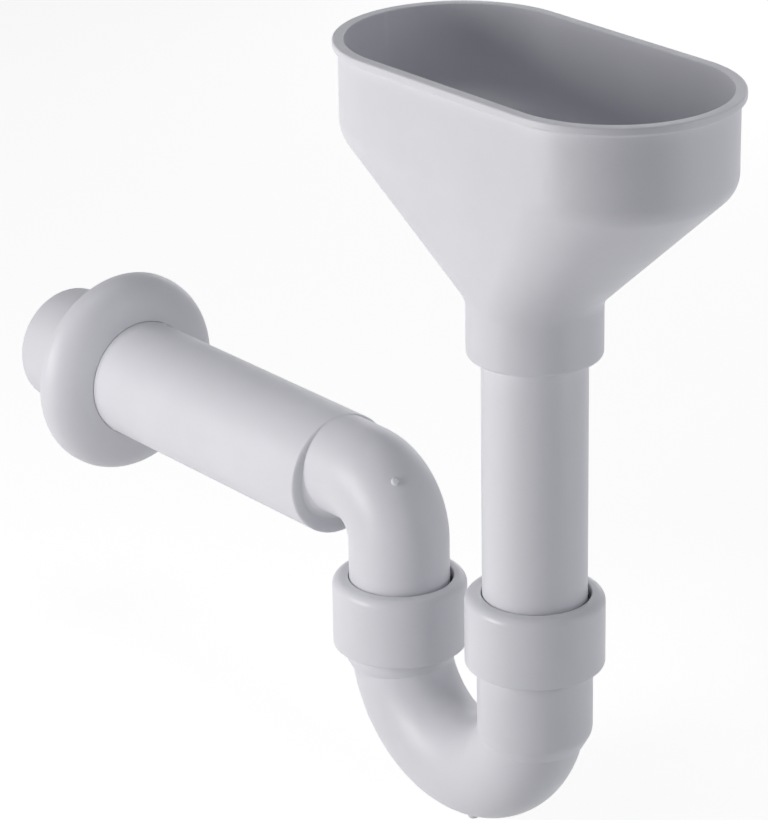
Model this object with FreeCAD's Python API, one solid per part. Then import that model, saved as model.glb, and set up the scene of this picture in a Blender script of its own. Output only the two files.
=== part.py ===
"""Washing machine standpipe trap: funnel, standpipe, return bend with union nuts, outlet bend, wall flange.

Millimetres. The origin is where the outlet's axis meets the wall: X runs away from the wall, Z is up, and
the part is the same on both sides of the plane Y = 0.
"""
import FreeCAD, Part
import math
import os

# Tubes
pipe_diameter = 40.0
pipe_wall = 2.0
outlet_diameter = 50.0
outlet_wall = 2.0

# Layout in the plane Y = 0
wall_to_leg = 185.4
arm_spacing = 80.8
outlet_to_bend = 58.0
inlet_arm = 40.2
outlet_arm = 18.9
standpipe_length = 158.0
spigot_length = 41.0
shoulder_to_leg = 35.0
elbow_radius = 21.0

# Trap bend
neck_wall = 1.95
inlet_neck_drop = 9.8
outlet_neck_drop = 7.5
neck_taper_length = 6.0
neck_taper_step = 3.4
neck_taper_round = 3.0
thread_height = 1.5
seat_rise = 1.7
mouth_cone_depth = 4.5
mouth_lip = 1.0

# Union nuts
nut_wall = 2.85
nut_height = 28.8
nut_flange = 4.5
nut_skirt = 4.3
nut_gap = 0.9
nut_top_round = 3.7
nut_bottom_round = 0.8
nut_hole_round = 0.6

# Conical seals under the nuts
seal_head = 3.0
seal_head_margin = 0.4

# Funnel
bowl_length = 172.0
bowl_width = 88.6
bowl_wall = 2.2
bowl_wall_height = 34.6
bowl_shoulder_round = 11.0
rim_overhang = 2.1
rim_thickness = 3.0
rim_round = 0.7
rim_fillet = 1.2
hopper_height = 54.8
hopper_floor_rise = 0.9
collar_wall = 2.5
collar_length = 22.4
collar_fillet = 5.0
collar_bottom_round = 1.6
socket_depth = 15.0
socket_stop = 2.4

# Lip seal in the funnel's socket
groove_depth = 2.75
groove_height = 7.0
groove_lip = 3.6
lip_seal_bevel = 1.2
lip_seal_land = 1.2

# Outlet pipe
crown_step = 0.4
shoulder_round = 2.8
shoulder_wall = 2.5
shoulder_flare = 3.4
spigot_bevel = 1.6
spigot_swell = 0.3
spigot_swell_taper = 1.0
pipe_end_bevel = 1.0
pipe_end_taper = 2.0
pipe_top_bevel = 0.5

# Moulding gate nubs
elbow_nub_diameter = 3.0
elbow_nub_height = 0.9
elbow_nub_bend_angle = 46.0
elbow_nub_turn = 20.0
bend_nub_diameter = 4.4
bend_nub_height = 4.0
bend_nub_offset = 3.5
nub_round = 0.6

# Wall flange
flange_diameter = 86.4
flange_depth = 13.7
flange_wall = 2.0
flange_slant = 2.6
flange_round = 9.6

# Clearances
socket_clearance = 0.25
seal_clearance = 0.1
thread_clearance = 0.25
flange_clearance = 0.1

# How far a cut runs past the face it opens
cut_overrun = 1.0

# Radii that follow
pipe_r = pipe_diameter / 2
pipe_bore_r = pipe_r - pipe_wall
outlet_r = outlet_diameter / 2
outlet_bore_r = outlet_r - outlet_wall
socket_r = pipe_r + socket_clearance
neck_r = socket_r + neck_wall
thread_r = neck_r + thread_height
nut_bore_r = thread_r + thread_clearance
nut_r = nut_bore_r + nut_wall
nut_hole_r = pipe_r + nut_gap
groove_r = socket_r + groove_depth
collar_r = groove_r + collar_wall
flange_r = flange_diameter / 2
spigot_r = outlet_r + spigot_swell
flange_hole_r = spigot_r + flange_clearance

# Places that follow
leg_x = wall_to_leg
stand_x = leg_x + arm_spacing
bend_x = leg_x + arm_spacing / 2
bend_r = arm_spacing / 2
bend_z = -outlet_to_bend
seat_z = bend_z + seat_rise
inlet_mouth_z = bend_z + inlet_arm
outlet_mouth_z = bend_z + outlet_arm
shoulder_x = leg_x - shoulder_to_leg
elbow_z = outlet_r - pipe_r - crown_step
elbow_x = leg_x - elbow_radius
elbow_centre_z = elbow_z - elbow_radius
standpipe_top_z = seat_z + standpipe_length
collar_bottom_z = standpipe_top_z - socket_depth
collar_top_z = collar_bottom_z + collar_length
hopper_top_z = collar_top_z + hopper_height
rim_z = hopper_top_z + bowl_wall_height

VERTICAL = FreeCAD.Vector(0, 0, 1)
OUTWARD = FreeCAD.Vector(1, 0, 0)
ACROSS = FreeCAD.Vector(0, 1, 0)
ROUNDING_SHARE = 0.96
TINY = 1e-6


def at(x, z, y=0.0):
    """A point by its distance from the wall, its height and its distance from the plane of symmetry."""
    return FreeCAD.Vector(x, y, z)


def rounded_wire(corners):
    """A closed outline in the plane Y = 0 from (x, z) or (x, z, radius) corners, with arcs where rounded.

    Two roundings that are too large for the side between them share it.
    """
    count = len(corners)
    spots = [at(corner[0], corner[1]) for corner in corners]
    sides = [spots[(i + 1) % count] - spots[i] for i in range(count)]
    halves = [sides[i].getAngle(-sides[i - 1]) / 2 for i in range(count)]
    radii = [corner[2] if len(corner) > 2 else 0.0 for corner in corners]
    wanted = [radii[i] / math.tan(halves[i]) for i in range(count)]
    shares = [
        min(1.0, ROUNDING_SHARE * sides[i].Length / max(wanted[i] + wanted[(i + 1) % count], TINY))
        for i in range(count)
    ]
    cuts = [wanted[i] * min(shares[i], shares[i - 1]) for i in range(count)]
    edges = []
    for i, spot in enumerate(spots):
        ahead = FreeCAD.Vector(sides[i]).normalize()
        back = FreeCAD.Vector(-sides[i - 1]).normalize()
        leave = spot + ahead * cuts[i]
        if cuts[i] > TINY:
            depth = cuts[i] / math.cos(halves[i]) - cuts[i] * math.tan(halves[i])
            middle = spot + (ahead + back).normalize() * depth
            edges.append(Part.Arc(spot + back * cuts[i], middle, leave).toShape())
        arrive = spots[(i + 1) % count] - ahead * cuts[(i + 1) % count]
        edges.append(Part.makeLine(leave, arrive))
    return Part.Wire(edges)


def turned(corners, axis_x):
    """A solid of revolution about the vertical line at axis_x, from (radius, z, rounding) corners."""
    outline = rounded_wire([(axis_x + corner[0],) + tuple(corner[1:]) for corner in corners])
    return Part.Face(outline).revolve(at(axis_x, 0), VERTICAL, 360)


def turned_along(corners, axis_z):
    """A solid of revolution about the level line at axis_z, from (x, radius, rounding) corners."""
    outline = rounded_wire([(corner[0], axis_z + corner[1]) + tuple(corner[2:]) for corner in corners])
    return Part.Face(outline).revolve(at(0, axis_z), OUTWARD, 360)


def upright(radius, low, high, axis_x):
    """An upright round bar between two heights."""
    return Part.makeCylinder(radius, high - low, at(axis_x, low), VERTICAL)


def level(radius, near, far, axis_z):
    """A round bar along X between two distances from the wall."""
    return Part.makeCylinder(radius, far - near, at(near, axis_z), OUTWARD)


def bent_bar(radius, start, pivot, angle):
    """A round bar that starts upright at a point and turns by an angle about a level line at the pivot."""
    section = Part.Face(Part.Wire(Part.makeCircle(radius, start, VERTICAL)))
    return section.revolve(pivot, ACROSS, angle)


def fused(first, *others):
    """One solid from several that meet, without the edges between like faces."""
    return first.fuse(list(others)).removeSplitter()


def hollowed(body, *hollows):
    """A solid with other solids cut out of it."""
    return body.cut(list(hollows)).Solids[0]


def edges_at(body, z, half_straight, end_radius):
    """The edges of a body that lie at one height, on or inside a long oval about the standpipe's axis."""
    chosen = []
    for edge in body.Edges:
        spots = edge.discretize(3)
        across = [math.hypot(max(abs(spot.x - stand_x) - half_straight, 0), spot.y) for spot in spots]
        if max(across) < end_radius + TINY and all(abs(spot.z - z) < TINY for spot in spots):
            chosen.append(edge)
    return chosen


def gate_nub(diameter, height, root, foot, direction):
    """The stub that a moulding gate leaves: a short peg with a rounded end, rooted below the surface."""
    peg = Part.makeCylinder(diameter / 2, root + height, foot - direction * root, direction)
    tip = [edge for edge in peg.Edges if (edge.CenterOfMass - foot).dot(direction) > height / 2]
    tip = [edge for edge in tip if isinstance(edge.Curve, Part.Circle)]
    return peg.makeFillet(min(nub_round, height / 2), tip)


def oval_wire(half_straight, end_radius, z):
    """A long oval outline about the standpipe's axis: two half circles joined by straight sides."""
    right = stand_x + half_straight
    left = stand_x - half_straight
    return Part.Wire([
        Part.Arc(at(right, z, -end_radius), at(right + end_radius, z), at(right, z, end_radius)).toShape(),
        Part.makeLine(at(right, z, end_radius), at(left, z, end_radius)),
        Part.Arc(at(left, z, end_radius), at(left - end_radius, z), at(left, z, -end_radius)).toShape(),
        Part.makeLine(at(left, z, -end_radius), at(right, z, -end_radius)),
    ])


def hopper(half_straight, end_radius, top_z, throat_r, throat_z):
    """A hopper from a long oval to a circle: flat triangles front and back, slanting round ends between."""
    faces = [
        Part.Face(oval_wire(half_straight, end_radius, top_z)),
        Part.Face(Part.Wire(Part.makeCircle(throat_r, at(stand_x, throat_z), VERTICAL))),
    ]
    for side in (1, -1):
        corner = at(stand_x + side * half_straight, top_z, -end_radius)
        mouth = Part.Arc(
            corner,
            at(stand_x + side * (half_straight + end_radius), top_z),
            at(stand_x + side * half_straight, top_z, end_radius),
        )
        throat = Part.Arc(
            at(stand_x, throat_z, -throat_r),
            at(stand_x + side * throat_r, throat_z),
            at(stand_x, throat_z, throat_r),
        )
        faces.append(Part.makeRuledSurface(mouth.toShape(), throat.toShape()))
        triangle = Part.makePolygon([
            at(stand_x - half_straight, top_z, side * end_radius),
            at(stand_x + half_straight, top_z, side * end_radius),
            at(stand_x, throat_z, side * throat_r),
            at(stand_x - half_straight, top_z, side * end_radius),
        ])
        faces.append(Part.Face(triangle))
    shell = Part.Shell(faces)
    shell.sewShape()
    return Part.Solid(shell)


def bowl(half_straight, end_radius, low_z, high_z, throat_r, throat_z, round_radius):
    """An upright oval wall on a hopper, with the edge between them rounded."""
    wall = Part.Face(oval_wire(half_straight, end_radius, low_z)).extrude(VERTICAL * (high_z - low_z))
    body = fused(wall, hopper(half_straight, end_radius, low_z, throat_r, throat_z))
    return body.makeFillet(round_radius, edges_at(body, low_z, half_straight, end_radius))


def make_funnel():
    end_r = bowl_width / 2
    half_straight = (bowl_length - bowl_width) / 2
    inner_end_r = end_r - bowl_wall
    inner_throat_r = collar_r - bowl_wall
    floor_z = collar_top_z + hopper_floor_rise
    outside = bowl(half_straight, end_r, hopper_top_z, rim_z, collar_r, collar_top_z, bowl_shoulder_round)
    inside = bowl(
        half_straight, inner_end_r, hopper_top_z + hopper_floor_rise, rim_z + rim_thickness,
        inner_throat_r, floor_z, bowl_shoulder_round - bowl_wall,
    )
    rim_low = rim_z - rim_thickness
    rim = Part.Face(oval_wire(half_straight, end_r + rim_overhang, rim_low)).extrude(VERTICAL * rim_thickness)
    rim_edges = [edge for edge in rim.Edges if abs(edge.BoundBox.ZLength) < TINY]
    rim = rim.makeFillet(rim_round, rim_edges)
    collar = turned([
        (0, collar_bottom_z),
        (collar_r, collar_bottom_z, collar_bottom_round),
        (collar_r, collar_top_z),
        (0, collar_top_z),
    ], stand_x)
    groove_low = collar_bottom_z + groove_lip
    throat_top = standpipe_top_z + socket_stop
    passage = turned([
        (0, collar_bottom_z - cut_overrun),
        (socket_r, collar_bottom_z - cut_overrun),
        (socket_r, groove_low),
        (groove_r, groove_low),
        (groove_r, groove_low + groove_height),
        (socket_r, groove_low + groove_height),
        (socket_r, standpipe_top_z),
        (pipe_bore_r, standpipe_top_z),
        (pipe_bore_r, throat_top),
        (inner_throat_r, floor_z),
        (0, floor_z),
    ], stand_x)
    body = fused(outside, rim)
    body = body.makeFillet(rim_fillet, edges_at(body, rim_low, half_straight, end_r))
    body = fused(body, collar)
    body = body.makeFillet(collar_fillet, edges_at(body, collar_top_z, 0, collar_r))
    return hollowed(body, inside, passage)


def make_funnel_seal():
    inner = pipe_r + seal_clearance
    outer = groove_r - seal_clearance
    low = collar_bottom_z + groove_lip
    high = low + groove_height - seal_clearance
    waist = (inner + outer) / 2
    return turned([
        (waist, low),
        (outer, low),
        (outer, high),
        (inner + lip_seal_bevel, high),
        (inner, high - lip_seal_bevel),
        (inner, high - lip_seal_bevel - lip_seal_land),
        (waist, low + lip_seal_bevel),
    ], stand_x)


def make_standpipe():
    return turned([
        (pipe_bore_r, seat_z),
        (pipe_r - pipe_end_bevel, seat_z),
        (pipe_r, seat_z + pipe_end_taper),
        (pipe_r, standpipe_top_z - pipe_top_bevel),
        (pipe_r - pipe_top_bevel, standpipe_top_z),
        (pipe_bore_r, standpipe_top_z),
    ], stand_x)


def make_nut(mouth_z, axis_x):
    low_of_flange = mouth_z + seal_head
    top = low_of_flange + nut_flange
    bottom = top - nut_height
    return turned([
        (nut_hole_r, low_of_flange),
        (nut_bore_r, low_of_flange),
        (nut_bore_r, bottom),
        (nut_r, bottom, nut_bottom_round),
        (nut_r, top, nut_top_round),
        (nut_hole_r, top, nut_hole_round),
    ], axis_x)


def make_cone_seal(mouth_z, axis_x):
    inner = pipe_r + seal_clearance
    head_r = thread_r - seal_head_margin
    cone_top_r = thread_r - mouth_lip - seal_clearance
    return turned([
        (inner, mouth_z - mouth_cone_depth + seal_clearance),
        (socket_r, mouth_z - mouth_cone_depth + seal_clearance),
        (cone_top_r, mouth_z),
        (head_r, mouth_z),
        (head_r, mouth_z + seal_head),
        (inner, mouth_z + seal_head),
    ], axis_x)


def trap_arm(mouth_z, neck_drop, axis_x):
    """The outside of one arm: the taper into the bend, the plain neck and the screwed mouth."""
    neck_low = bend_z - neck_drop
    thread_low = mouth_z + seal_head + nut_flange - nut_height + nut_skirt
    return turned([
        (0, neck_low - neck_taper_length),
        (neck_r - neck_taper_step, neck_low - neck_taper_length),
        (neck_r, neck_low, neck_taper_round),
        (neck_r, thread_low),
        (thread_r, thread_low + thread_height),
        (thread_r, mouth_z),
        (0, mouth_z),
    ], axis_x)


def trap_socket(mouth_z, axis_x):
    """The inside of one arm: the bend's bore, the seat of the tube's end, the socket and the mouth's cone."""
    return turned([
        (0, bend_z),
        (pipe_bore_r, bend_z),
        (pipe_bore_r, seat_z),
        (socket_r, seat_z),
        (socket_r, mouth_z - mouth_cone_depth),
        (thread_r - mouth_lip, mouth_z),
        (thread_r - mouth_lip, mouth_z + cut_overrun),
        (0, mouth_z + cut_overrun),
    ], axis_x)


def make_trap_bend():
    start = at(leg_x, bend_z)
    pivot = at(bend_x, bend_z)
    outside = bent_bar(pipe_r, start, pivot, -180)
    bore = bent_bar(pipe_bore_r, start, pivot, -180)
    low_point = math.sqrt((bend_r + pipe_r) ** 2 - bend_nub_offset ** 2)
    nub_foot = at(bend_x + bend_nub_offset, bend_z - low_point)
    nub = gate_nub(bend_nub_diameter, bend_nub_height, pipe_wall / 2, nub_foot, -VERTICAL)
    inlet = trap_arm(inlet_mouth_z, inlet_neck_drop, stand_x)
    outlet = trap_arm(outlet_mouth_z, outlet_neck_drop, leg_x)
    body = fused(outside, inlet, outlet, nub)
    hollow = fused(bore, trap_socket(inlet_mouth_z, stand_x), trap_socket(outlet_mouth_z, leg_x))
    return hollowed(body, hollow)


def make_outlet_bend():
    elbow_start = at(leg_x, elbow_centre_z)
    elbow_pivot = at(elbow_x, elbow_centre_z)
    leg = turned([
        (0, seat_z),
        (pipe_r - pipe_end_bevel, seat_z),
        (pipe_r, seat_z + pipe_end_taper),
        (pipe_r, elbow_centre_z),
        (0, elbow_centre_z),
    ], leg_x)
    elbow = bent_bar(pipe_r, elbow_start, elbow_pivot, -90)
    run = level(pipe_r, shoulder_x - shoulder_wall, elbow_x, elbow_z)
    pipe = turned_along([
        (-spigot_length, 0),
        (-spigot_length, spigot_r, spigot_bevel),
        (0, spigot_r),
        (spigot_swell_taper, outlet_r),
        (shoulder_x, outlet_r, shoulder_round),
        (shoulder_x, 0),
    ], 0)
    flare = turned_along([
        (shoulder_x - shoulder_wall, 0),
        (shoulder_x - shoulder_wall, pipe_r + shoulder_flare),
        (shoulder_x, pipe_r + shoulder_flare),
        (shoulder_x, pipe_r, shoulder_flare),
        (shoulder_x + shoulder_flare, pipe_r),
        (shoulder_x + shoulder_flare, 0),
    ], elbow_z)
    flare = flare.common(level(outlet_r - shoulder_round, shoulder_x - shoulder_wall, elbow_x, 0))
    nub_bend = math.radians(elbow_nub_bend_angle)
    nub_turn = math.radians(elbow_nub_turn)
    radial = at(math.cos(nub_bend), math.sin(nub_bend))
    nub_way = radial * math.cos(nub_turn) - ACROSS * math.sin(nub_turn)
    nub_foot = elbow_pivot + radial * elbow_radius + nub_way * pipe_r
    nub = gate_nub(elbow_nub_diameter, elbow_nub_height, pipe_wall / 2, nub_foot, nub_way)
    body = fused(leg, elbow, run, flare, pipe, nub)
    leg_bore = upright(pipe_bore_r, seat_z - cut_overrun, elbow_centre_z, leg_x)
    elbow_bore = bent_bar(pipe_bore_r, elbow_start, elbow_pivot, -90)
    run_bore = level(pipe_bore_r, shoulder_x - shoulder_wall - cut_overrun, elbow_x, elbow_z)
    pipe_bore = level(outlet_bore_r, -spigot_length - cut_overrun, shoulder_x - shoulder_wall, 0)
    return hollowed(body, fused(leg_bore, elbow_bore, run_bore, pipe_bore))


def make_wall_flange():
    inner_r = flange_r - flange_wall
    front = flange_depth - flange_wall
    return turned_along([
        (0, inner_r),
        (0, flange_r),
        (flange_depth - flange_slant, flange_r, flange_round),
        (flange_depth, flange_hole_r),
        (front, flange_hole_r),
        (front - flange_slant, inner_r, flange_round - flange_wall),
    ], 0)


pieces = {
    "funnel": make_funnel(),
    "funnel_seal": make_funnel_seal(),
    "standpipe": make_standpipe(),
    "inlet_nut": make_nut(inlet_mouth_z, stand_x),
    "inlet_seal": make_cone_seal(inlet_mouth_z, stand_x),
    "trap_bend": make_trap_bend(),
    "outlet_nut": make_nut(outlet_mouth_z, leg_x),
    "outlet_seal": make_cone_seal(outlet_mouth_z, leg_x),
    "outlet_bend": make_outlet_bend(),
    "wall_flange": make_wall_flange(),
}

os.makedirs("parts", exist_ok=True)
for name, solid in pieces.items():
    solid.exportStep(f"parts/{name}.step")
    print(name, solid.ShapeType, len(solid.Solids), solid.isValid(), round(solid.Volume / 1000, 2), "cm3")
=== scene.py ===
"""A washing machine standpipe trap, dressed for its portrait.

Metres, in the frame of the solids: the outlet's axis meets the wall at the origin, X runs away from the wall
and Z is up. Each piece is turned, bent or drawn out as by hand, and takes the place of one solid.
"""

import bmesh
import bpy
import math
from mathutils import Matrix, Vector


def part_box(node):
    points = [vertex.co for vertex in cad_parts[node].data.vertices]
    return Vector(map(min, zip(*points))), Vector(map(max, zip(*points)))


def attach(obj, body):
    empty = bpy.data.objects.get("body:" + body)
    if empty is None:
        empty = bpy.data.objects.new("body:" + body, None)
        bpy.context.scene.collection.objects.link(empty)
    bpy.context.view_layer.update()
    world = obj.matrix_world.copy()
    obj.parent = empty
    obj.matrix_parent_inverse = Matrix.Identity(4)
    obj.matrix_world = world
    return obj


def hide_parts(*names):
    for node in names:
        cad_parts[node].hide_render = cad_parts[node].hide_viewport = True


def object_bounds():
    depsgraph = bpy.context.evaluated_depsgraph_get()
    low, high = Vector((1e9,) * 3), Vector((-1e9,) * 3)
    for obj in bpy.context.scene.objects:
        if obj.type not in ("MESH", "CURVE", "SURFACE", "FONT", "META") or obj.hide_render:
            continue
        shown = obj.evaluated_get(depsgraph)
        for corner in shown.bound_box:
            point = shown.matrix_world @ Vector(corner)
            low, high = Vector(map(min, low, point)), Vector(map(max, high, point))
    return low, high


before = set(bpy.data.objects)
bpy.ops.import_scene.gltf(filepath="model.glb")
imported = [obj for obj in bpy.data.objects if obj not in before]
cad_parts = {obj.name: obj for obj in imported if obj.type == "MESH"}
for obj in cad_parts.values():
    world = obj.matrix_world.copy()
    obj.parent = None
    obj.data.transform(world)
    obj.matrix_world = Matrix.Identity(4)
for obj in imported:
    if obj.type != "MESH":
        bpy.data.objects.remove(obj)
cad_low, cad_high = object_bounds()

FULL_TURN = math.radians(360)
HALF_TURN = math.radians(180)
QUARTER_TURN = math.radians(90)
UPRIGHT = Vector((0, 0, 1))
LEVEL = Vector((1, 0, 0))
ACROSS = Vector((0, 1, 0))

# Nearer than this counts as one place, and as one direction
TOUCH = 0.000002
SAME_WAY = 0.003
# Side of the square that an outline starts from
PENCIL = 0.001
# Bare core round the axis of a turned shape, and the thinner one of the drill that follows it
AXIS_CORE = 0.0005
DRILL_CORE = 0.0002

# How finely round things are drawn
TURN_STEPS = 128
FUNNEL_STEPS = 190
BEND_STEPS = 72
ELBOW_STEPS = 40
NUB_STEPS = 32
NUB_CUTS = 4
PIPE_END_CUTS = 3
ARC_STEP = 0.0004
LEAST_CUTS, MOST_CUTS = 3, 16
SOFT_EDGE = math.radians(34)

# Shares of a step by which joined shapes are turned on, so that their edges don't coincide
ARM_START = 0.31
SOCKET_START = 0.57
OUTLET_START = 0.61
FLARE_START = 0.43
DRILL_START = 0.37

# Places and sizes read from the solids
stand_low, stand_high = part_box("standpipe")
funnel_low, funnel_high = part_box("funnel")
inlet_nut_low, inlet_nut_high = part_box("inlet_nut")
outlet_nut_low, outlet_nut_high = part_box("outlet_nut")
inlet_seal_low, inlet_seal_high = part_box("inlet_seal")
outlet_seal_low, outlet_seal_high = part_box("outlet_seal")
funnel_seal_low, funnel_seal_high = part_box("funnel_seal")
trap_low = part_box("trap_bend")[0]
outlet_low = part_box("outlet_bend")[0]
flange_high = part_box("wall_flange")[1]

stand_x = (stand_low.x + stand_high.x) / 2
leg_x = (outlet_nut_low.x + outlet_nut_high.x) / 2
bend_x = (leg_x + stand_x) / 2
bend_r = (stand_x - leg_x) / 2
seat_z = stand_low.z
pipe_top_z = stand_high.z
pipe_r = (stand_high.y - stand_low.y) / 2
nut_r = (inlet_nut_high.y - inlet_nut_low.y) / 2
flange_r = flange_high.y
flange_depth = flange_high.x
spigot_end_x = outlet_low.x
rim_z = funnel_high.z
rim_r = funnel_high.y
half_straight = min(funnel_high.x - stand_x, stand_x - funnel_low.x) - rim_r
collar_bottom_z = funnel_low.z

# Tubes
pipe_wall = 0.002
outlet_r = 0.025
outlet_wall = 0.002
pipe_bore_r = pipe_r - pipe_wall
outlet_bore_r = outlet_r - outlet_wall
pipe_end_bevel = 0.001
pipe_end_taper = 0.002
pipe_top_bevel = 0.0005
socket_clearance = 0.00025
socket_r = pipe_r + socket_clearance


def set_active(piece):
    """Leaves one object selected and active."""
    bpy.ops.object.select_all(action="DESELECT")
    piece.select_set(True)
    bpy.context.view_layer.objects.active = piece


def edit(piece):
    """Opens an object for work on its vertices."""
    set_active(piece)
    bpy.ops.object.mode_set(mode="EDIT")
    bpy.ops.mesh.select_mode(type="VERT")


def done():
    """Closes the object that is open for editing."""
    bpy.ops.object.mode_set(mode="OBJECT")


def pick(test):
    """In edit mode, selects the vertices whose place passes a test, and what they span."""
    mesh = bmesh.from_edit_mesh(bpy.context.edit_object.data)
    for vert in mesh.verts:
        vert.select_set(test(vert.co))
    mesh.select_flush(True)
    mesh.select_flush(False)
    bmesh.update_edit_mesh(bpy.context.edit_object.data)


def named(name):
    """Names the new primitive, applies its place and opens it for editing."""
    piece = bpy.context.object
    piece.name = name
    piece.data.name = name
    bpy.ops.object.transform_apply(location=True, rotation=True, scale=True)
    edit(piece)
    return piece


def close_mesh():
    """In edit mode, merges doubles and turns all faces outwards."""
    bpy.ops.mesh.select_all(action="SELECT")
    bpy.ops.mesh.remove_doubles(threshold=TOUCH)
    bpy.ops.mesh.normals_make_consistent(inside=False)


def turned(name, outline, centre, axis, steps=TURN_STEPS):
    """Draws a closed outline point by point and spins it about an axis."""
    bpy.ops.object.select_all(action="DESELECT")
    bpy.ops.mesh.primitive_plane_add(size=PENCIL, location=outline[0])
    piece = named(name)
    bpy.ops.mesh.select_all(action="SELECT")
    bpy.ops.mesh.merge(type="CENTER")
    for here, there in zip(outline, outline[1:]):
        bpy.ops.mesh.extrude_region_move(TRANSFORM_OT_translate={"value": there - here})
    ends = (outline[0], outline[-1])
    pick(lambda place: min((place - end).length for end in ends) < TOUCH)
    bpy.ops.mesh.edge_face_add()
    bpy.ops.mesh.select_all(action="SELECT")
    bpy.ops.mesh.spin(steps=steps, angle=FULL_TURN, center=centre, axis=axis, use_auto_merge=True)
    close_mesh()
    done()
    return piece


def soft_corner(start, corner, end, cuts):
    """Points along a rounded corner, an arc where both sides are cut back alike."""
    pull = 2 * math.sin((start - corner).angle(end - corner) / 2)
    points = []
    for i in range(cuts + 1):
        share = i / cuts
        rest = 1 - share
        first, middle, last = rest * rest, pull * rest * share, share * share
        points.append((start * first + corner * middle + end * last) / (first + middle + last))
    return points


def rounded(corners):
    """An outline from (across, along, rounding) corners. A pair rounds the two sides of a corner unalike."""
    count = len(corners)
    points = []
    for i, (across, along, rounding) in enumerate(corners):
        spot = Vector((across, along))
        if not rounding:
            points.append(spot)
            continue
        back = Vector(corners[i - 1][:2]) - spot
        ahead = Vector(corners[(i + 1) % count][:2]) - spot
        before, after = rounding if isinstance(rounding, tuple) else (rounding, rounding)
        cuts = max(LEAST_CUTS, min(MOST_CUTS, round(after / ARC_STEP)))
        start = spot + back.normalized() * before
        end = spot + ahead.normalized() * after
        points += soft_corner(start, spot, end, cuts)
    return points


def turned_upright(name, corners, axis_x, start=0):
    """Turns (radius, height, rounding) corners about an upright line, from a share of a step on."""
    angle = start * FULL_TURN / TURN_STEPS
    across = Vector((math.cos(angle), math.sin(angle), 0))
    outline = [LEVEL * axis_x + across * point.x + UPRIGHT * point.y for point in rounded(corners)]
    return turned(name, outline, (axis_x, 0, 0), UPRIGHT)


def turned_level(name, corners, axis_z, start=0):
    """Turns (way from the wall, radius, rounding) corners about a level line, from a share of a step on."""
    angle = start * FULL_TURN / TURN_STEPS
    across = Vector((0, math.sin(angle), math.cos(angle)))
    outline = [UPRIGHT * axis_z + LEVEL * point.x + across * point.y for point in rounded(corners)]
    return turned(name, outline, (0, 0, axis_z), LEVEL)


def combine(piece, tool, operation):
    """Joins a shape to a piece or cuts it away, and throws the shape away."""
    set_active(piece)
    change = piece.modifiers.new(operation.lower(), "BOOLEAN")
    change.operation = operation
    change.solver = "EXACT"
    change.object = tool
    bpy.ops.object.modifier_apply(modifier=change.name)
    bpy.data.objects.remove(tool)
    return piece


def bent_tube(name, radius, start, straight, pivot, turn, steps, run):
    """A closed bar: a straight stretch up to a bend, the bend, and a straight run after it."""
    bpy.ops.object.select_all(action="DESELECT")
    bpy.ops.mesh.primitive_circle_add(vertices=TURN_STEPS, radius=radius, location=start)
    piece = named(name)
    bpy.ops.mesh.select_all(action="SELECT")
    bpy.ops.mesh.extrude_region_move(TRANSFORM_OT_translate={"value": straight})
    bpy.ops.mesh.spin(steps=steps, angle=turn, center=pivot, axis=ACROSS)
    bpy.ops.mesh.extrude_region_move(TRANSFORM_OT_translate={"value": run})
    bpy.ops.mesh.select_all(action="SELECT")
    bpy.ops.mesh.fill_holes(sides=0)
    close_mesh()
    done()
    return piece


def gate_nub(name, radius, foot, direction, root, height, soft):
    """A short peg with a rounded tip, left where a moulding was filled."""
    bpy.ops.object.select_all(action="DESELECT")
    bpy.ops.mesh.primitive_cylinder_add(
        vertices=NUB_STEPS, radius=radius, depth=root + height,
        location=foot + direction * (height - root) / 2,
        rotation=direction.to_track_quat("Z", "Y").to_euler(),
    )
    piece = named(name)
    tip = foot + direction * height
    pick(lambda place: abs((place - tip).dot(direction)) < TOUCH)
    bpy.ops.mesh.bevel(offset=soft, segments=NUB_CUTS, affect="EDGES")
    close_mesh()
    done()
    return piece


# Standpipe
standpipe = turned_upright("standpipe_tube", [
    (pipe_bore_r, seat_z, 0),
    (pipe_r - pipe_end_bevel, seat_z, 0),
    (pipe_r, seat_z + pipe_end_taper, 0),
    (pipe_r, pipe_top_z - pipe_top_bevel, 0),
    (pipe_r - pipe_top_bevel, pipe_top_z, 0),
    (pipe_bore_r, pipe_top_z, 0),
], stand_x)

# Union nuts
nut_clearance = 0.0009
nut_hole_r = pipe_r + nut_clearance
nut_bore_r = 0.02395
nut_bore_round = 0.0003
nut_flange = 0.0045
nut_top_round = 0.0037
nut_bottom_round = 0.0008
nut_hole_round = 0.0006
nut_play = Vector((0.00034, 0.00042, 0))


def union_nut(name, low, high):
    """A smooth nut whose hole has play, so that the tube stands nearer to its left side."""
    axis_x = (low.x + high.x) / 2
    nut = turned_upright(name, [
        (nut_hole_r, high.z - nut_flange, 0),
        (nut_bore_r, high.z - nut_flange, 0),
        (nut_bore_r, low.z, nut_bore_round),
        (nut_r, low.z, nut_bottom_round),
        (nut_r, high.z, nut_top_round),
        (nut_hole_r, high.z, nut_hole_round),
    ], axis_x)
    edit(nut)
    pick(lambda place: math.hypot(place.x - axis_x, place.y) < nut_hole_r + nut_hole_round + TOUCH)
    bpy.ops.transform.translate(value=nut_play)
    done()
    return nut


inlet_nut = union_nut("inlet_union_nut", inlet_nut_low, inlet_nut_high)
outlet_nut = union_nut("outlet_union_nut", outlet_nut_low, outlet_nut_high)

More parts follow.
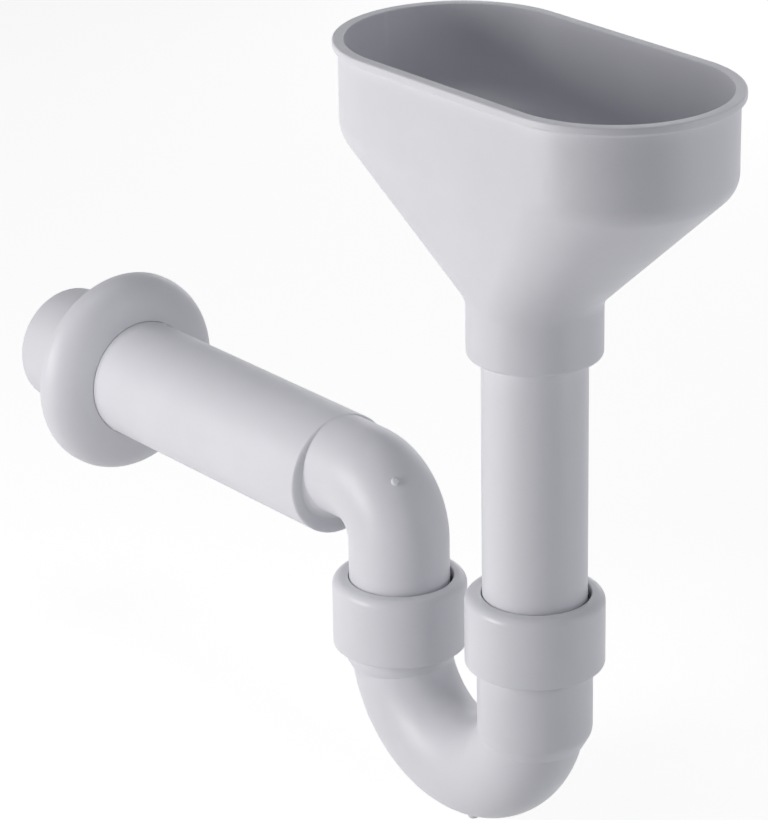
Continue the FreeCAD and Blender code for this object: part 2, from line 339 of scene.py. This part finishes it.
# Wall flange
flange_wall = 0.002
flange_slant = 0.0014
flange_round = (0.0105, 0.0174)
flange_inner_round = (0.0158, 0.0085)
flange_back_round = 0.0003
flange_hole_round = 0.0004
flange_clearance = 0.00012
flange_hole_r = outlet_r + flange_clearance
wall_flange = turned_level("domed_wall_flange", [
    (0, flange_r - flange_wall, 0),
    (0, flange_r, flange_back_round),
    (flange_depth - flange_slant, flange_r, flange_round),
    (flange_depth, flange_hole_r, flange_hole_round),
    (flange_depth - flange_wall, flange_hole_r, 0),
    (flange_depth - flange_wall - flange_slant, flange_r - flange_wall, flange_inner_round),
], 0)

# Funnel: turned round at first, then drawn out sideways into an oval
rim_overhang = 0.0021
rim_thickness = 0.003
rim_round = 0.0007
rim_fillet = 0.0012
rim_inner_round = 0.0004
bowl_wall = 0.0022
bowl_wall_height = 0.0346
collar_length = 0.0224
collar_r = 0.0255
collar_round = 0.0016
collar_fillet = 0.0032
shoulder_on_wall = 0.0044
shoulder_on_hopper = 0.062
floor_rise = 0.0009
socket_stop = 0.0024
groove_lip = 0.0036
groove_height = 0.007
groove_r = 0.023
lead_in = 0.0006

# Shares of a slope where it has rings of its own, and where its soft ends begin
hopper_shares = (0.25, 0.45, 0.65, 0.82)
inner_hopper_shares = (0.2, 0.4, 0.6, 0.8)
throat_on_hopper = 0.03
throat_on_cone = 0.4
cone_foot = 0.2

# Cuts along the funnel's rounded corners
COLLAR_FOOT_CUTS = 6
COLLAR_TOP_CUTS = 8
SHOULDER_CUTS = 10
RIM_ROOT_CUTS = 5
RIM_CUTS = 4
RIM_INNER_CUTS = 3
THROAT_CUTS = 5
CONE_FOOT_CUTS = 3

wall_r = rim_r - rim_overhang
inner_r = wall_r - bowl_wall
collar_top_z = collar_bottom_z + collar_length
hopper_top_z = rim_z - bowl_wall_height
rim_low_z = rim_z - rim_thickness
inner_top_z = hopper_top_z + floor_rise
inner_throat_r = collar_r - bowl_wall
throat_z = collar_top_z + floor_rise
groove_low_z = collar_bottom_z + groove_lip


def funnel_rings():
    """The funnel's rings as (half of the straight side, radius, height), up outside and down inside."""
    def ring(straight, radius, height):
        return Vector((straight, radius, height))

    collar_top = ring(0, collar_r, collar_top_z)
    shoulder = ring(half_straight, wall_r, hopper_top_z)
    inner_shoulder = ring(half_straight, inner_r, inner_top_z)
    inner_throat = ring(0, inner_throat_r, throat_z)
    fillet_share = collar_fillet / (hopper_top_z - collar_top_z)
    up = ring(0, 0, 1)
    out = ring(0, 1, 0)
    rim_root = ring(half_straight, wall_r, rim_low_z)
    rim_under = ring(half_straight, rim_r, rim_low_z)
    rim_top = ring(half_straight, rim_r, rim_z)
    rim_inner = ring(half_straight, inner_r, rim_z)
    collar_foot = ring(0, collar_r, collar_bottom_z)

    rings = [ring(0, socket_r + lead_in, collar_bottom_z)]
    rings += soft_corner(
        collar_foot - out * collar_round, collar_foot, collar_foot + up * collar_round, COLLAR_FOOT_CUTS)
    rings += soft_corner(
        collar_top - up * collar_fillet, collar_top,
        collar_top.lerp(shoulder, fillet_share), COLLAR_TOP_CUTS)
    rings += [collar_top.lerp(shoulder, share) for share in hopper_shares]
    rings += soft_corner(
        shoulder.lerp(collar_top, shoulder_on_hopper), shoulder,
        shoulder + up * shoulder_on_wall, SHOULDER_CUTS)
    rings += soft_corner(rim_root - up * rim_fillet, rim_root, rim_root + out * rim_fillet, RIM_ROOT_CUTS)
    rings += soft_corner(rim_under - out * rim_round, rim_under, rim_under + up * rim_round, RIM_CUTS)
    rings += soft_corner(rim_top - up * rim_round, rim_top, rim_top - out * rim_round, RIM_CUTS)
    rings += soft_corner(
        rim_inner + out * rim_inner_round, rim_inner, rim_inner - up * rim_inner_round, RIM_INNER_CUTS)
    rings += soft_corner(
        inner_shoulder + up * shoulder_on_wall, inner_shoulder,
        inner_shoulder.lerp(inner_throat, shoulder_on_hopper), SHOULDER_CUTS)
    rings += [inner_shoulder.lerp(inner_throat, share) for share in inner_hopper_shares]
    throat_top = ring(0, pipe_bore_r, pipe_top_z + socket_stop)
    rings += soft_corner(
        inner_throat.lerp(inner_shoulder, throat_on_hopper), inner_throat,
        inner_throat.lerp(throat_top, throat_on_cone), THROAT_CUTS)
    rings += soft_corner(
        throat_top.lerp(inner_throat, cone_foot), throat_top, throat_top - up * lead_in, CONE_FOOT_CUTS)
    rings += [
        ring(0, pipe_bore_r, pipe_top_z),
        ring(0, socket_r, pipe_top_z),
        ring(0, socket_r, groove_low_z + groove_height),
        ring(0, groove_r, groove_low_z + groove_height),
        ring(0, groove_r, groove_low_z),
        ring(0, socket_r, groove_low_z),
        ring(0, socket_r, collar_bottom_z + lead_in),
    ]
    return rings


def drawn_oval(piece, rings):
    """Draws each ring of a turned piece apart along X, by as much as the ring asks for."""
    edit(piece)
    for straight, radius, height in rings:
        if straight < TOUCH:
            continue
        for side in (1, -1):
            def on_this_side(place):
                if abs(place.z - height) > TOUCH or (place.x - stand_x) * side <= 0:
                    return False
                return abs(math.hypot(place.x - stand_x, place.y) - radius) < TOUCH

            pick(on_this_side)
            bpy.ops.transform.translate(value=LEVEL * straight * side)
    close_mesh()
    done()


rings = funnel_rings()
funnel = turned(
    "funnel_shell", [Vector((stand_x + radius, 0, height)) for straight, radius, height in rings],
    (stand_x, 0, 0), UPRIGHT, FUNNEL_STEPS,
)
drawn_oval(funnel, rings)

# Trap bend
seat_rise = 0.0017
bend_z = seat_z - seat_rise
neck_r = 0.0222
thread_r = 0.0237
thread_height = 0.0015
neck_taper_length = 0.006
neck_taper_step = 0.0034
neck_round = 0.0022
inlet_neck_drop = 0.0098
outlet_neck_drop = 0.0075
mouth_cone_depth = 0.0045
mouth_lip = 0.001
mouth_round = 0.0004
nut_skirt = 0.0043
seal_head = 0.003
arm_core_r = pipe_bore_r / 2

# How far the bend reaches into its arms, and how far a cutting shape goes past what it cuts
overlap = 0.004
clear = 0.001


def trap_arm(name, nut_low, seal_high, neck_drop, axis_x):
    """A neck that tapers into the bend below and ends in a screwed mouth above."""
    mouth_z = seal_high.z - seal_head
    neck_low = bend_z - neck_drop
    thread_low = nut_low.z + nut_skirt
    return turned_upright(name, [
        (arm_core_r, neck_low - neck_taper_length, 0),
        (neck_r - neck_taper_step, neck_low - neck_taper_length, 0),
        (neck_r, neck_low, neck_round),
        (neck_r, thread_low, 0),
        (thread_r, thread_low + thread_height, 0),
        (thread_r, mouth_z, mouth_round),
        (arm_core_r, mouth_z, 0),
    ], axis_x, ARM_START)


def trap_socket(name, seal_high, axis_x):
    """What is cut from an arm for its tube and cone seal."""
    mouth_z = seal_high.z - seal_head
    return turned_upright(name, [
        (AXIS_CORE, seat_z, 0),
        (socket_r, seat_z, 0),
        (socket_r, mouth_z - mouth_cone_depth, 0),
        (thread_r - mouth_lip, mouth_z, 0),
        (thread_r - mouth_lip, mouth_z + clear, 0),
        (AXIS_CORE, mouth_z + clear, 0),
    ], axis_x, SOCKET_START)


bend_start = Vector((leg_x, 0, bend_z))
bend_pivot = Vector((bend_x, 0, bend_z))
trap_bend = bent_tube(
    "return_bend", pipe_r, bend_start + UPRIGHT * overlap, -UPRIGHT * overlap,
    bend_pivot, HALF_TURN, BEND_STEPS, UPRIGHT * overlap,
)
inlet_arm = trap_arm("inlet_arm", inlet_nut_low, inlet_seal_high, inlet_neck_drop, stand_x)
combine(trap_bend, inlet_arm, "UNION")
outlet_arm = trap_arm("outlet_arm", outlet_nut_low, outlet_seal_high, outlet_neck_drop, leg_x)
combine(trap_bend, outlet_arm, "UNION")

bend_nub_r = 0.0022
bend_nub_offset = 0.0035
bend_nub_root = 0.001
bend_nub_round = 0.0006
nub_drop = math.sqrt((bend_r + pipe_r) ** 2 - bend_nub_offset ** 2)
nub_foot = bend_pivot + LEVEL * bend_nub_offset - UPRIGHT * nub_drop
bend_nub_height = nub_foot.z - trap_low.z
combine(trap_bend, gate_nub(
    "bend_nub", bend_nub_r, nub_foot, -UPRIGHT, bend_nub_root, bend_nub_height, bend_nub_round), "UNION")

# The bore goes past the bar's ends, so that no core is left in the sockets
bore_rise = overlap + clear
combine(trap_bend, bent_tube(
    "bend_bore", pipe_bore_r, bend_start + UPRIGHT * bore_rise, -UPRIGHT * bore_rise,
    bend_pivot, HALF_TURN, BEND_STEPS, UPRIGHT * bore_rise,
), "DIFFERENCE")
combine(trap_bend, trap_socket("inlet_socket", inlet_seal_high, stand_x), "DIFFERENCE")
combine(trap_bend, trap_socket("outlet_socket", outlet_seal_high, leg_x), "DIFFERENCE")

# Outlet bend
crown_step = 0.00015
elbow_r = 0.021
shoulder_to_leg = 0.035
shoulder_round = (0.0016, 0.0044)
shoulder_flat_margin = 0.0036
shoulder_flat_r = outlet_r - shoulder_flat_margin
shoulder_wall = 0.0025
shoulder_flare = 0.0042
# How deep the flare sinks into what it joins, the least share of it that is left, and how far it is rounded
bite = 0.0001
FLARE_LEAST = 0.04
FLARE_REACH = 0.999
spigot_r = 0.0253
spigot_round = 0.0016
swell_length = 0.001
elbow_z = outlet_r - pipe_r - crown_step
elbow_centre_z = elbow_z - elbow_r
elbow_x = leg_x - elbow_r
shoulder_x = leg_x - shoulder_to_leg
elbow_pivot = Vector((elbow_x, 0, elbow_centre_z))

outlet_bend = turned_level("outlet_pipe", [
    (spigot_end_x, AXIS_CORE, 0),
    (spigot_end_x, spigot_r, spigot_round),
    (0, spigot_r, 0),
    (swell_length, outlet_r, 0),
    (shoulder_x, outlet_r, shoulder_round),
    (shoulder_x, AXIS_CORE, 0),
], 0, OUTLET_START)
flare = turned_level("elbow_flare", [
    (shoulder_x - outlet_wall, AXIS_CORE, 0),
    (shoulder_x - outlet_wall, pipe_r + shoulder_flare, 0),
    (shoulder_x - bite, pipe_r + shoulder_flare, 0),
    (shoulder_x - bite, pipe_r - bite, shoulder_flare * FLARE_REACH),
    (shoulder_x + shoulder_flare, pipe_r - bite, 0),
    (shoulder_x + shoulder_flare, AXIS_CORE, 0),
], elbow_z, FLARE_START)


def fade_flare(piece):
    """Draws the flare in, strip by strip, so that it stays on the shoulder and dies out at the crown."""
    edit(piece)
    for strip in range(TURN_STEPS):
        angle = (strip + FLARE_START) * FULL_TURN / TURN_STEPS
        out = Vector((0, math.sin(angle), math.cos(angle)))
        rise = elbow_z * out.z
        room = math.sqrt(rise ** 2 + shoulder_flat_r ** 2 - elbow_z ** 2) - rise - pipe_r
        share = max(FLARE_LEAST, min(1, room / shoulder_flare))

        def on_strip(place):
            away = place - UPRIGHT * elbow_z
            away.x = 0
            return (away.normalized() - out).length < SAME_WAY and away.length > pipe_r - 2 * bite

        pick(on_strip)
        root = LEVEL * (shoulder_x - bite) + UPRIGHT * elbow_z + out * (pipe_r - bite)
        bpy.ops.transform.resize(value=(share, share, share), center_override=root)
    close_mesh()
    done()


fade_flare(flare)
combine(outlet_bend, flare, "UNION")

leg_foot = Vector((leg_x, 0, seat_z))
leg_rise = UPRIGHT * (elbow_centre_z - seat_z)
elbow_run = LEVEL * (shoulder_x - shoulder_wall / 2 - elbow_x)
leg = bent_tube(
    "elbow_and_leg", pipe_r, leg_foot, leg_rise, elbow_pivot, QUARTER_TURN, ELBOW_STEPS, elbow_run)
edit(leg)
pick(lambda place: place.z < seat_z + TOUCH)
bpy.ops.mesh.bevel(offset=pipe_end_bevel, segments=PIPE_END_CUTS, affect="EDGES")
close_mesh()
done()
combine(outlet_bend, leg, "UNION")

elbow_nub_r = 0.0017
elbow_nub_height = 0.0014
elbow_nub_root = 0.001
elbow_nub_round = 0.001
elbow_nub_bend = math.radians(46)
elbow_nub_turn = math.radians(20)
nub_radial = LEVEL * math.cos(elbow_nub_bend) + UPRIGHT * math.sin(elbow_nub_bend)
nub_way = nub_radial * math.cos(elbow_nub_turn) - ACROSS * math.sin(elbow_nub_turn)
combine(outlet_bend, gate_nub(
    "elbow_nub", elbow_nub_r, elbow_pivot + nub_radial * elbow_r + nub_way * pipe_r, nub_way,
    elbow_nub_root, elbow_nub_height, elbow_nub_round), "UNION")

combine(outlet_bend, turned_level("outlet_bore", [
    (spigot_end_x - clear, DRILL_CORE, 0),
    (spigot_end_x - clear, outlet_bore_r, 0),
    (shoulder_x - shoulder_wall, outlet_bore_r, 0),
    (shoulder_x - shoulder_wall, DRILL_CORE, 0),
], 0, DRILL_START), "DIFFERENCE")
combine(outlet_bend, bent_tube(
    "leg_bore", pipe_bore_r, leg_foot - UPRIGHT * clear, leg_rise + UPRIGHT * clear,
    elbow_pivot, QUARTER_TURN, ELBOW_STEPS, LEVEL * (shoulder_x - shoulder_wall - clear - elbow_x),
), "DIFFERENCE")

# Seals, of which little or nothing shows
seal_gap = 0.0001
seal_round = 0.0004
lip_bevel = 0.0012
seal_inner = pipe_r + seal_gap
cone_seat_r = thread_r - mouth_lip - seal_gap


def cone_seal(name, low, high, axis_x):
    """A ring with a flat head under the nut and a cone in the mouth below."""
    return turned_upright(name, [
        (seal_inner, low.z, 0),
        (socket_r, low.z, 0),
        (cone_seat_r, high.z - seal_head, 0),
        (high.x - axis_x, high.z - seal_head, 0),
        (high.x - axis_x, high.z, seal_round),
        (seal_inner, high.z, seal_round),
    ], axis_x)


inlet_seal = cone_seal("inlet_cone_seal", inlet_seal_low, inlet_seal_high, stand_x)
outlet_seal = cone_seal("outlet_cone_seal", outlet_seal_low, outlet_seal_high, leg_x)
seal_outer = funnel_seal_high.x - stand_x
seal_waist = (seal_inner + seal_outer) / 2
funnel_seal = turned_upright("funnel_lip_seal", [
    (seal_waist, funnel_seal_low.z, 0),
    (seal_outer, funnel_seal_low.z, seal_round),
    (seal_outer, funnel_seal_high.z, seal_round),
    (seal_inner + lip_bevel, funnel_seal_high.z, 0),
    (seal_inner, funnel_seal_high.z - lip_bevel, 0),
    (seal_inner, funnel_seal_high.z - 2 * lip_bevel, 0),
    (seal_waist, funnel_seal_low.z + lip_bevel, 0),
], stand_x)


def finish_shape(piece):
    """Cleans a finished mesh and shades its soft edges smooth."""
    edit(piece)
    close_mesh()
    done()
    bpy.ops.object.shade_smooth_by_angle(angle=SOFT_EDGE)
    even = piece.modifiers.new("even_normals", "WEIGHTED_NORMAL")
    even.keep_sharp = True
    bpy.ops.object.modifier_apply(modifier=even.name)


def material_tree(name):
    """A new material with its shader, and the place on the object in metres."""
    material = bpy.data.materials.new(name)
    material.use_nodes = True
    tree = material.node_tree
    shader = tree.nodes["Principled BSDF"]
    place = tree.nodes.new("ShaderNodeTexCoord").outputs["Object"]
    return material, tree, shader, place


def stretched(tree, place, stretch):
    """The place drawn out along the axes, so that a pattern gets a lie."""
    mapping = tree.nodes.new("ShaderNodeMapping")
    mapping.inputs["Scale"].default_value = stretch
    tree.links.new(place, mapping.inputs["Vector"])
    return mapping.outputs["Vector"]


def noise(tree, place, scale, detail):
    """A cloudy pattern from 0 to 1."""
    cloud = tree.nodes.new("ShaderNodeTexNoise")
    cloud.inputs["Scale"].default_value = scale
    cloud.inputs["Detail"].default_value = detail
    tree.links.new(place, cloud.inputs["Vector"])
    return cloud.outputs["Fac"]


def between(tree, value, low, high, new_low, new_high):
    """A value moved from one range to another."""
    change = tree.nodes.new("ShaderNodeMapRange")
    ends = {"From Min": low, "From Max": high, "To Min": new_low, "To Max": new_high}
    for socket, number in ends.items():
        change.inputs[socket].default_value = number
    tree.links.new(value, change.inputs["Value"])
    return change.outputs["Result"]


def blended(tree, share, first, second):
    """A colour between two colours, each given as numbers or as a socket."""
    mix = tree.nodes.new("ShaderNodeMix")
    mix.data_type = "RGBA"
    sockets = [socket for socket in mix.inputs if socket.type == "RGBA"]
    for socket, colour in zip(sockets, (first, second)):
        if isinstance(colour, tuple):
            socket.default_value = (*colour, 1)
        else:
            tree.links.new(colour, socket)
    tree.links.new(share, mix.inputs["Factor"])
    return next(socket for socket in mix.outputs if socket.type == "RGBA")


def bumped(tree, height, depth, strength, under=None):
    """The normal of a surface raised by a pattern, over an earlier one if there is one."""
    bump = tree.nodes.new("ShaderNodeBump")
    bump.inputs["Distance"].default_value = depth
    bump.inputs["Strength"].default_value = strength
    tree.links.new(height, bump.inputs["Height"])
    if under:
        tree.links.new(under, bump.inputs["Normal"])
    return bump.outputs["Normal"]


# Patterns per metre and their detail, the stretch of each that shows, how strongly, and depths in metres
PATCHES, PATCH_DETAIL = 26, 4
CLOUDS, CLOUD_DETAIL = 130, 5
SPECKS, SPECK_DETAIL = 1900, 2
SINK, SINK_DETAIL = 34, 1
BLOOM_DETAIL = 4
PATCH_RANGE = (0.3, 0.7)
DUST_RANGE, DUST_MOST = (0.66, 0.8), 0.3
WEAR_RANGE, WEAR_MOST = (0.515, 0.60), 0.6
SINK_DEPTH, SINK_STRENGTH = 0.0004, 0.12
GRAIN_STRENGTH = 0.25
BLOOM_RANGE = (0.35, 0.7)
RUBBER_GRAIN, RUBBER_GRAIN_STRENGTH = 0.0001, 0.3


def plastic(name, pale, dull, worn, rough, lie, grain_depth):
    """Moulded or drawn plastic: soft patches, a fine grain, shallow waves and edges rubbed paler."""
    material, tree, shader, place = material_tree(name)
    laid = stretched(tree, place, lie)
    patches = between(tree, noise(tree, laid, PATCHES, PATCH_DETAIL), *PATCH_RANGE, 0, 1)
    colour = blended(tree, patches, dull, pale)
    specks = noise(tree, laid, SPECKS, SPECK_DETAIL)
    dust = between(tree, specks, *DUST_RANGE, 0, DUST_MOST)
    colour = blended(tree, dust, colour, dull)
    edges = tree.nodes.new("ShaderNodeNewGeometry").outputs["Pointiness"]
    wear = between(tree, edges, *WEAR_RANGE, 0, WEAR_MOST)
    colour = blended(tree, wear, colour, worn)
    tree.links.new(colour, shader.inputs["Base Color"])
    clouds = noise(tree, laid, CLOUDS, CLOUD_DETAIL)
    tree.links.new(between(tree, clouds, *PATCH_RANGE, *rough), shader.inputs["Roughness"])
    waves = bumped(tree, noise(tree, place, SINK, SINK_DETAIL), SINK_DEPTH, SINK_STRENGTH)
    grain = bumped(tree, specks, grain_depth, GRAIN_STRENGTH, waves)
    tree.links.new(grain, shader.inputs["Normal"])
    return material


def rubber(name, black, grey, rough):
    """Moulded rubber with a dusty bloom."""
    material, tree, shader, place = material_tree(name)
    bloom = between(tree, noise(tree, place, CLOUDS, BLOOM_DETAIL), *BLOOM_RANGE, 0, 1)
    tree.links.new(blended(tree, bloom, black, grey), shader.inputs["Base Color"])
    tree.links.new(between(tree, bloom, 0, 1, *rough), shader.inputs["Roughness"])
    specks = noise(tree, place, SPECKS, SPECK_DETAIL)
    grain = bumped(tree, specks, RUBBER_GRAIN, RUBBER_GRAIN_STRENGTH)
    tree.links.new(grain, shader.inputs["Normal"])
    return material


# Finishes: colours, ranges of roughness, the lie of the pattern, and depths of the grain in metres
MOULDED_PALE = (0.778, 0.777, 0.812)
MOULDED_DULL = (0.748, 0.748, 0.781)
WORN = (0.822, 0.821, 0.853)
RUBBER_BLACK = (0.02, 0.02, 0.02)
RUBBER_GREY = (0.06, 0.06, 0.058)
MOULDED_ROUGH = (0.36, 0.46)
DRAWN_ROUGH = (0.33, 0.43)
NUT_ROUGH = (0.32, 0.42)
RUBBER_ROUGH = (0.5, 0.68)
EVEN = (1, 1, 1)
ALONG_Z = (1, 1, 0.06)
GRAIN = 0.00012
NUT_GRAIN = 0.00008
moulded_plastic = plastic("moulded_plastic", MOULDED_PALE, MOULDED_DULL, WORN, MOULDED_ROUGH, EVEN, GRAIN)
drawn_plastic = plastic("drawn_plastic", MOULDED_PALE, MOULDED_DULL, WORN, DRAWN_ROUGH, ALONG_Z, GRAIN)
nut_plastic = plastic("nut_plastic", MOULDED_PALE, MOULDED_DULL, WORN, NUT_ROUGH, EVEN, NUT_GRAIN)
seal_rubber = rubber("seal_rubber", RUBBER_BLACK, RUBBER_GREY, RUBBER_ROUGH)
PLASTIC_SLOT, RUBBER_SLOT = "white_plastic", "seal_rubber"
pieces = {
    "funnel": (funnel, moulded_plastic, PLASTIC_SLOT),
    "standpipe": (standpipe, drawn_plastic, PLASTIC_SLOT),
    "inlet_nut": (inlet_nut, nut_plastic, PLASTIC_SLOT),
    "outlet_nut": (outlet_nut, nut_plastic, PLASTIC_SLOT),
    "trap_bend": (trap_bend, moulded_plastic, PLASTIC_SLOT),
    "outlet_bend": (outlet_bend, moulded_plastic, PLASTIC_SLOT),
    "wall_flange": (wall_flange, moulded_plastic, PLASTIC_SLOT),
    "inlet_seal": (inlet_seal, seal_rubber, RUBBER_SLOT),
    "outlet_seal": (outlet_seal, seal_rubber, RUBBER_SLOT),
    "funnel_seal": (funnel_seal, seal_rubber, RUBBER_SLOT),
}

for node, (piece, material, slot) in pieces.items():
    finish_shape(piece)
    piece.data.materials.clear()
    piece.data.materials.append(material)
    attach(piece, "root")
    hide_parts(node)

# Floor, nearly white to the eye but for the part's faint shadow
FLOOR_SIZE = 12
FLOOR_PALE = (0.9, 0.9, 0.9, 1)
FLOOR_SHADE = (0.3, 0.3, 0.3, 1)
FLOOR_WHITE = 0.86


def seen_white(tree):
    """A mix of two shaders that takes the second for the eye, for reflections and through clear things."""
    path = tree.nodes.new("ShaderNodeLightPath")
    share = path.outputs["Is Camera Ray"]
    for ray in ("Is Glossy Ray", "Is Transmission Ray"):
        either = tree.nodes.new("ShaderNodeMath")
        either.operation = "MAXIMUM"
        tree.links.new(share, either.inputs[0])
        tree.links.new(path.outputs[ray], either.inputs[1])
        share = either.outputs["Value"]
    mix = tree.nodes.new("ShaderNodeMixShader")
    tree.links.new(share, mix.inputs["Fac"])
    return mix


bpy.ops.object.select_all(action="DESELECT")
bpy.ops.mesh.primitive_plane_add(size=FLOOR_SIZE, location=(0, 0, cad_low.z))
floor = bpy.context.object
floor.name = "pale_floor"
floor_paint = bpy.data.materials.new("floor_paint")
floor_paint.use_nodes = True
tree = floor_paint.node_tree
tree.nodes.clear()
pale = tree.nodes.new("ShaderNodeBsdfDiffuse")
pale.inputs["Color"].default_value = FLOOR_PALE
shade = tree.nodes.new("ShaderNodeBsdfDiffuse")
shade.inputs["Color"].default_value = FLOOR_SHADE
glow = tree.nodes.new("ShaderNodeEmission")
glow.inputs["Strength"].default_value = FLOOR_WHITE
both = tree.nodes.new("ShaderNodeAddShader")
tree.links.new(shade.outputs["BSDF"], both.inputs[0])
tree.links.new(glow.outputs["Emission"], both.inputs[1])
mix = seen_white(tree)
tree.links.new(pale.outputs["BSDF"], mix.inputs[1])
tree.links.new(both.outputs["Shader"], mix.inputs[2])
floor_out = tree.nodes.new("ShaderNodeOutputMaterial")
tree.links.new(mix.outputs["Shader"], floor_out.inputs["Surface"])
floor.data.materials.append(floor_paint)

# World, white to the eye and soft on the part
WORLD_TINT = (0.95, 0.97, 1.1, 1)
WORLD_LIGHT = 0.109
WORLD_WHITE = (1, 1, 1, 1)
world = bpy.data.worlds.new("studio")
bpy.context.scene.world = world
world.use_nodes = True
tree = world.node_tree
tree.nodes.clear()
soft = tree.nodes.new("ShaderNodeBackground")
soft.inputs["Color"].default_value = WORLD_TINT
soft.inputs["Strength"].default_value = WORLD_LIGHT
white = tree.nodes.new("ShaderNodeBackground")
white.inputs["Color"].default_value = WORLD_WHITE
white.inputs["Strength"].default_value = 1
mix = seen_white(tree)
tree.links.new(soft.outputs["Background"], mix.inputs[1])
tree.links.new(white.outputs["Background"], mix.inputs[2])
world_out = tree.nodes.new("ShaderNodeOutputWorld")
tree.links.new(mix.outputs["Shader"], world_out.inputs["Surface"])

# Lamps, in metres and watts
WARM = (1, 0.995, 0.99)
COOL = (0.96, 0.975, 1)
centre = (cad_low + cad_high) / 2


def softbox(name, spot, size, power, tint):
    """A square soft lamp that looks at the middle of the part."""
    data = bpy.data.lights.new(name, "AREA")
    data.size = size
    data.energy = power
    data.color = tint
    lamp = bpy.data.objects.new(name, data)
    bpy.context.scene.collection.objects.link(lamp)
    lamp.location = spot
    lamp.rotation_euler = (Vector(spot) - centre).to_track_quat("Z", "Y").to_euler()


softbox("front_softbox", spot=(0.1, -0.6, 0.1), size=0.25, power=1.25, tint=WARM)
softbox("left_softbox", spot=(-0.3, -1.0, 0.35), size=0.4, power=3.9, tint=WARM)
softbox("right_softbox", spot=(0.75, 0.25, 0.3), size=0.25, power=0.5, tint=COOL)
softbox("low_right_softbox", spot=(0.7, 0.2, -0.05), size=0.2, power=0.17, tint=COOL)
softbox("far_right_softbox", spot=(1.1, 0.8, 0.2), size=0.6, power=0.68, tint=COOL)
softbox("back_softbox", spot=(-0.45, 0.95, 0.2), size=0.6, power=1.3, tint=COOL)
softbox("top_softbox", spot=(0.17, 0, 1.4), size=0.6, power=2.3, tint=COOL)

# Camera, at the photograph's place: lens and sensor in millimetres, its turn in degrees
CAMERA_LENS = 160.56
CAMERA_SENSOR = 36
CAMERA_REACH = 50
CAMERA_SPOT = (1.202864, -0.828932, 0.584010)
CAMERA_TURN = (67.4374, 0.9159, 50.6690)
camera_data = bpy.data.cameras.new("camera")
camera_data.lens = CAMERA_LENS
camera_data.sensor_width = CAMERA_SENSOR
camera_data.clip_end = CAMERA_REACH
camera = bpy.data.objects.new("camera", camera_data)
bpy.context.scene.collection.objects.link(camera)
camera.location = CAMERA_SPOT
camera.rotation_euler = [math.radians(angle) for angle in CAMERA_TURN]
bpy.context.scene.camera = camera
bpy.context.scene.view_settings.view_transform = "Standard"
